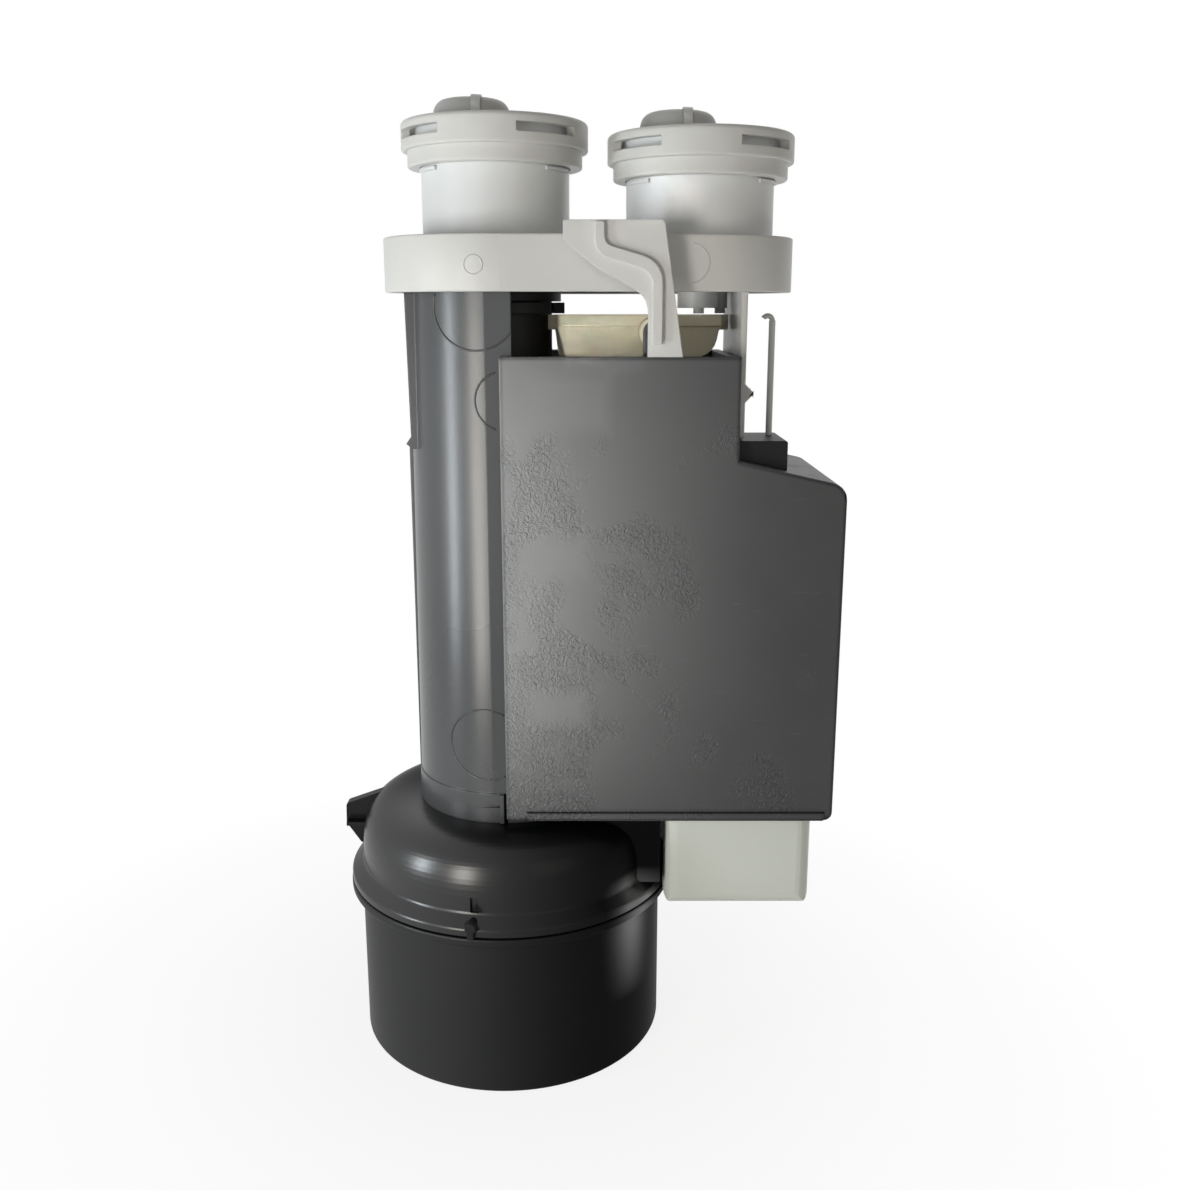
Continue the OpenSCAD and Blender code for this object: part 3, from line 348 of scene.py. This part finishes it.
def blisters_and_painted_sheen(patch_group):
    """Node group for the blistered face and a painted sheen: the sheen output is a painted highlight,
    lightest on the left and about z = 155 mm, towards the window lamp, (1 - x / 95 mm) to the power 2.2,
    times 1.25 - 156 (z - 155 mm)^2 in metres, Blister is a bumpy noise inside the islands of a cloud that
    thins out to the right and upwards, Patch is the largest of three smooth patches, where the bumps stop."""
    box_right, sheen_power = 0.095, 2.2
    sheen_middle, sheen_gain, sheen_fall = 0.155, 1.25, 156.0
    blister_none, blister_full, blister_share = 0.192, 0.166, 0.22
    cloud_scale, shore, inland = 42.0, 0.62, 0.70
    bump_scale, patch_fade = 900.0, 0.005
    group, entry, leave = new_group("blisters_and_painted_sheen", ("Vector",), (), ("Blister", "Painted Sheen", "Patch"))
    place = entry.outputs["Vector"]
    parts = group.nodes.new("ShaderNodeSeparateXYZ")
    feed(group, place, parts.inputs["Vector"])
    leftward = ramp(group, parts.outputs["X"], box_right, 0.0)
    # Painted sheen: lightest on the left and about z = 155 mm, as the window lamp's light falls.
    above = reckon(group, "SUBTRACT", parts.outputs["Z"], sheen_middle)
    belly = reckon(group, "MULTIPLY_ADD", reckon(group, "MULTIPLY", above, above), -sheen_fall, sheen_gain)
    painted_sheen = reckon(group, "MULTIPLY", reckon(group, "POWER", leftward, sheen_power), belly, clamp=True)
    thick = reckon(group, "MULTIPLY", leftward, ramp(group, parts.outputs["Z"], blister_none, blister_full))
    cloud = noise(group, place, cloud_scale, detail=6.0, distortion=0.6)
    islands = ramp(group, reckon(group, "MULTIPLY_ADD", thick, blister_share, cloud), shore, inland)
    bumps = noise(group, place, bump_scale, detail=2.0, distortion=1.2)
    height = reckon(group, "MULTIPLY", reckon(group, "SUBTRACT", bumps, 0.5), islands)
    covered = 0.0
    for centre, half in (
        ((0.0188, 0.0, 0.1950), (0.0134, 1.0, 0.0095)),
        ((0.0173, 0.0, 0.1536), (0.0087, 1.0, 0.0075)),
        ((0.0157, 0.0, 0.1107), (0.0103, 1.0, 0.0068)),
    ):
        patch = group.nodes.new("ShaderNodeGroup")
        patch.node_tree = patch_group
        patch.inputs["Centre"].default_value = centre
        patch.inputs["Half"].default_value = half
        patch.inputs["Fade"].default_value = patch_fade
        feed(group, place, patch.inputs["Vector"])
        covered = reckon(group, "MAXIMUM", covered, patch.outputs["Mask"])
    bare = reckon(group, "SUBTRACT", 1.0, covered)
    feed(group, reckon(group, "MULTIPLY", height, bare), leave.inputs["Blister"])
    feed(group, painted_sheen, leave.inputs["Painted Sheen"])
    feed(group, covered, leave.inputs["Patch"])
    return group


box_level = 0.45
box_grey = moulding(
    "box_grey", deep=(0.030, 0.031, 0.032), pale=(0.040, 0.041, 0.042), rough=(0.42, 0.52),
    level=box_level, worn=(0.14, 0.14, 0.14), wear=0.25, tone=36.0, scuff=90.0,
)
# The first colour here is a painted sheen, laid over the left of the box; the second is the smooth patches'
# film.
painted_sheen_colour, film, film_share = (0.305, 0.312, 0.318), (0.34, 0.347, 0.352), 0.22
# Painted shade along the box's edges: a dark colour and almost no shine.
painted_edge_shade, edge_shade_level = (0.006, 0.006, 0.006), 0.03
edge_shade_radius, edge_shade_start, edge_shade_full = 0.0020, 0.995, 0.88
soft_edge = 0.0005
tree = box_grey.node_tree
shader = tree.nodes["Principled BSDF"]
skin_and_sheen = tree.nodes.new("ShaderNodeGroup")
skin_and_sheen.node_tree = blisters_and_painted_sheen(smooth_patch())
feed(tree, tree.nodes["Texture Coordinate"].outputs["Object"], skin_and_sheen.inputs["Vector"])
raised = tree.nodes.new("ShaderNodeBump")
raised.inputs["Strength"].default_value = 0.9
raised.inputs["Distance"].default_value = 0.0009
feed(tree, skin_and_sheen.outputs["Blister"], raised.inputs["Height"])
feed(tree, shader.inputs["Normal"].links[0].from_socket, raised.inputs["Normal"])
feed(tree, raised.outputs["Normal"], shader.inputs["Normal"])
# Mask of the box's edges, where the bevelled normal leaves the true one, for the painted shade there.
rounded = tree.nodes.new("ShaderNodeBevel")
rounded.samples = 8
rounded.inputs["Radius"].default_value = edge_shade_radius
flat = tree.nodes.new("ShaderNodeNewGeometry")
agree = tree.nodes.new("ShaderNodeVectorMath")
agree.operation = "DOT_PRODUCT"
feed(tree, rounded.outputs["Normal"], agree.inputs[0])
feed(tree, flat.outputs["True Normal"], agree.inputs[1])
edge = ramp(tree, agree.outputs["Value"], edge_shade_start, edge_shade_full)
plain = shader.inputs["Base Color"].links[0].from_socket
# Painted sheen over the colour, lighter to the left, then the patches' film.
sheened = colour_mix(tree, skin_and_sheen.outputs["Painted Sheen"], plain, painted_sheen_colour)
filmed = colour_mix(tree, reckon(tree, "MULTIPLY", skin_and_sheen.outputs["Patch"], film_share), sheened, film)
# Painted shade on the edges, in the colour and in the shine.
feed(tree, colour_mix(tree, edge, filmed, painted_edge_shade), shader.inputs["Base Color"])
feed(tree, ramp(tree, edge, 0.0, 1.0, box_level, edge_shade_level), shader.inputs["Specular IOR Level"])
dress(box_grey, "flush_box")
dress(black_matte, "rod_guide")
soften(soft_edge, "flush_box")

# Float: a pale tub and lid of polypropylene, moulded and welded together, with a thin hooked rod
# of drawn nylon. It is free to rise in the flush box.
float_pale = moulding(
    "float_pale", deep=(0.66, 0.69, 0.64), pale=(0.70, 0.73, 0.68), rough=(0.32, 0.42),
    level=0.4, worn=(0.5, 0.51, 0.46), wear=0.1, tone=14.0,
)
dress(float_pale, "float_tub", "float_lid")
rod_pale = moulding(
    "rod_pale", deep=(0.72, 0.73, 0.73), pale=(0.78, 0.79, 0.79), rough=(0.4, 0.5),
    level=0.5, worn=(0.4, 0.4, 0.4), wear=0.2,
)
dress(rod_pale, "float_rod")

# Stem and levers: a black overflow tube with the seal on its foot, lifted by two cream
# acetal levers on one steel pin; the rear one works through a loose ring.
dress(black_matte, "overflow_stem", "lift_ring")
dress(seal_rubber, "seal_washer")
lever_cream = moulding(
    "lever_cream", deep=(0.88, 0.81, 0.61), pale=(0.92, 0.86, 0.67), rough=(0.32, 0.42),
    level=0.4, worn=(0.7, 0.64, 0.5), wear=0.1,
)
dress(lever_cream, "flush_lever", "half_lever")
bright_steel = moulding(
    "bright_steel", deep=(0.55, 0.55, 0.57), pale=(0.64, 0.64, 0.66), rough=(0.25, 0.35),
    level=0.5, worn=(0.4, 0.4, 0.4), wear=0.2,
)
bright_steel.node_tree.nodes["Principled BSDF"].inputs["Metallic"].default_value = 1.0
dress(bright_steel, "lever_pin")

# Top bridge: a white ABS shell, open below, on the column and the flush box. Its arm hooks over
# the front edge and stands on the box, and two round ejector marks show on its front. The bush in
# the column and the nut on the stem's foot are of the same plastic.
white_shell = moulding(
    "white_shell", deep=(0.65, 0.655, 0.64), pale=(0.69, 0.69, 0.67), rough=(0.34, 0.44),
    level=0.35, worn=(0.57, 0.57, 0.55), wear=0.08,
)
dress(white_shell, "top_bridge", "latch_arm", "stem_guide", "seal_nut")
ejector_ring = 0.00018
for name, x, z, r, first, last, closed in (
    ("mark_small", -0.0050, 0.2302, 0.0024, 0.0, 355.0, True),
    ("mark_right", 0.0508, 0.2307, 0.0051, -80.0, 80.0, False),
):
    line = arc_on(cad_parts["top_bridge"], x, z, r, first, last)
    wire(name, line, ejector_ring, white_shell, closed)
soften(soft_edge, "top_bridge")

# Button cups and lock rings: white ABS cups clipped into the bridge, each with a moulded ring that
# turns on it and locks under the cistern lid.
white_cup = moulding(
    "white_cup", deep=(0.72, 0.74, 0.75), pale=(0.76, 0.775, 0.78), rough=(0.28, 0.38),
    level=0.38, worn=(0.6, 0.61, 0.61), wear=0.08,
)
dress(white_cup, "cup_left", "cup_right")
dress(white_shell, "lock_ring_left", "lock_ring_right")

# Buttons: grey ABS caps with a thumb knob, pushed on to the white cores, whose rib shows through a
# slot in the knob. A coil of stainless wire stands round each core's post, and each coil gets a mesh of its
# own.
knob_grey = moulding(
    "knob_grey", deep=(0.54, 0.545, 0.53), pale=(0.60, 0.605, 0.59), rough=(0.38, 0.5),
    level=0.4, worn=(0.6, 0.6, 0.58), wear=0.2,
)
dress(knob_grey, "button_left", "button_right")
dress(white_cup, "push_arm", "plunger")
dress(bright_steel, "spring_left", "spring_right")
for name, joint in (("spring_left", "left_button_press"), ("spring_right", "right_button_press")):
    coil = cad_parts[name]
    low, high = coil.bound_box[0][2], coil.bound_box[6][2]
    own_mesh(coil)

# Studio: a pale floor that keeps the shadow, a white surround, a cool window lamp on the left, a
# warm one beside the camera, a large dim one in front on the right, a low one that edges the cup,
# narrow beams on the levers under the bridge and on the right cup, and one behind.


def seen_white(tree):
    """Mask of the rays that see the white background: the largest of Light Path's Is Camera Ray,
    Is Glossy Ray and Is Transmission Ray."""
    path = tree.nodes.new("ShaderNodeLightPath")
    straight = reckon(tree, "MAXIMUM", path.outputs["Is Camera Ray"], path.outputs["Is Glossy Ray"])
    return reckon(tree, "MAXIMUM", straight, path.outputs["Is Transmission Ray"])


def shader_mix(tree, share, first, second, end):
    """Puts a mix of two shaders, from first to second with share, on the output node end of a tree."""
    node = tree.nodes.new("ShaderNodeMixShader")
    for term, socket in zip((share, first, second), node.inputs):
        feed(tree, term, socket)
    feed(tree, node.outputs["Shader"], tree.nodes[end].inputs["Surface"])


corner, floor_z = 3.0, -0.0004
floor_mesh = bpy.data.meshes.new("floor")
floor_mesh.from_pydata(
    [(x * corner, y * corner, floor_z) for x, y in ((-1, -1), (1, -1), (1, 1), (-1, 1))],
    [], [(0, 1, 2, 3)],
)
floor = bpy.data.objects.new("floor", floor_mesh)
bpy.context.scene.collection.objects.link(floor)
shadow_reach, clear_reach, shadow_white = 0.045, 0.20, 0.86
paper = bpy.data.materials.new("paper")
paper.use_nodes = True
tree = paper.node_tree
sheet = tree.nodes["Principled BSDF"]
sheet.inputs["Base Color"].default_value = (0.9, 0.9, 0.9, 1.0)
sheet.inputs["Roughness"].default_value = 0.9
sheet.inputs["Specular IOR Level"].default_value = 0.0
place = tree.nodes.new("ShaderNodeTexCoord")
reach = tree.nodes.new("ShaderNodeVectorMath")
reach.operation = "LENGTH"
feed(tree, place.outputs["Object"], reach.inputs[0])
fade = ramp(tree, reach.outputs["Value"], shadow_reach, clear_reach, shadow_white, 1.0)
glow = tree.nodes.new("ShaderNodeEmission")
glow.inputs["Color"].default_value = (1.0, 1.0, 1.0, 1.0)
glow.inputs["Strength"].default_value = 1.0
share = reckon(tree, "MULTIPLY", seen_white(tree), fade)
shader_mix(tree, share, sheet.outputs["BSDF"], glow.outputs["Emission"], "Material Output")
floor_mesh.materials.append(paper)

world = bpy.data.worlds.new("surround")
bpy.context.scene.world = world
world.use_nodes = True
tree = world.node_tree
room = tree.nodes["Background"]
room.inputs["Color"].default_value = (1.0, 0.97, 0.92, 1.0)
room.inputs["Strength"].default_value = 0.15
white = tree.nodes.new("ShaderNodeBackground")
white.inputs["Color"].default_value = (1.0, 1.0, 1.0, 1.0)
white.inputs["Strength"].default_value = 1.0
shader_mix(tree, seen_white(tree), room.outputs["Background"], white.outputs["Background"], "World Output")

middle = (0.0, 0.0, 0.15)
all_round, beam = 180.0, 2.5
warm = (1.0, 0.97, 0.92)
for name, spot, aim, wide, high, power, tint, spread in (
    ("window_lamp", (-0.44, -0.23, 0.13), middle, 0.07, 0.22, 0.95, (0.88, 0.95, 1.0), all_round),
    ("door_lamp", (-0.204, -0.367, 0.12), middle, 0.09, 0.22, 0.82, (1.0, 0.97, 0.90), all_round),
    ("fill_lamp", (0.40, -0.55, 0.30), middle, 0.40, 0.40, 0.26, (1.0, 0.91, 0.78), all_round),
    ("rim_lamp", (0.36, 0.09, 0.03), middle, 0.04, 0.06, 0.15, warm, all_round),
    ("lever_lamp", (0.02, -0.42, 0.222), (0.028, 0.0, 0.2105), 0.02, 0.006, 0.00035, warm, beam),
    ("cup_lamp", (-0.06, -0.50, 0.25), (0.043, 0.0, 0.2475), 0.02, 0.01, 0.00035, (0.94, 0.98, 1.0), beam),
    ("back_lamp", (0.2, 0.7, 1.2), middle, 0.80, 0.80, 1.2, (1.0, 1.0, 1.0), all_round),
):
    lamp = bpy.data.lights.new(name, "AREA")
    lamp.shape = "RECTANGLE"
    lamp.size = wide
    lamp.size_y = high
    lamp.energy = power
    lamp.color = tint
    lamp.spread = radians(spread)
    stand = bpy.data.objects.new(name, lamp)
    stand.location = spot
    stand.rotation_euler = (Vector(aim) - Vector(spot)).to_track_quat("-Z", "Y").to_euler()
    bpy.context.scene.collection.objects.link(stand)

camera = bpy.data.cameras.new("camera")
camera.sensor_width = 36.0
camera.lens = 36.44
camera.clip_start = 0.01
tripod = bpy.data.objects.new("camera", camera)
tripod.location = (0.02619, -0.3495, 0.21944)
tripod.rotation_euler = (radians(76.59), 0.0, 0.0)
bpy.context.scene.collection.objects.link(tripod)
bpy.context.scene.camera = tripod
bpy.context.scene.view_settings.view_transform = "Standard"
